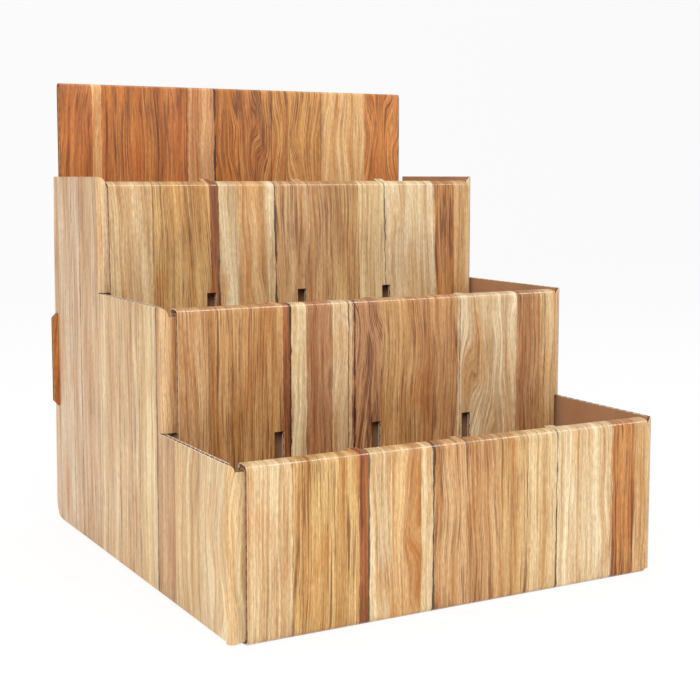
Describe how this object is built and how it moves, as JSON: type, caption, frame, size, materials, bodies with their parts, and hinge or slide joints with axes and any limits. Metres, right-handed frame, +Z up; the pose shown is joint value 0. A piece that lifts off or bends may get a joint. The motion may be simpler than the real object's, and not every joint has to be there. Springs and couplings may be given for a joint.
{
  "type": "cardboard counter display stand",
  "caption": "Stepped counter display stand folded from corrugated board, with rolled edges, divider slots and a rear header card.",
  "frame": {"origin": "centre of the stand's footprint, on the surface it stands on", "axes": "+X to the right as seen from the front, +Y from the front wall to the header card, +Z up"},
  "size_m": [0.286, 0.2951, 0.2995],
  "materials": {
    "tray": "plank print outside, plain kraft inside",
    "tier_2_riser": "plank print outside, plain kraft inside",
    "tier_3_riser": "plank print outside, plain kraft inside",
    "header_card": "plank print outside, plain kraft inside"
  },
  "bodies": {
    "root": {"tray": "tray", "tier_2_riser": "tier_2_riser", "tier_3_riser": "tier_3_riser", "header_card": "header_card"}
  },
  "joints": []
}
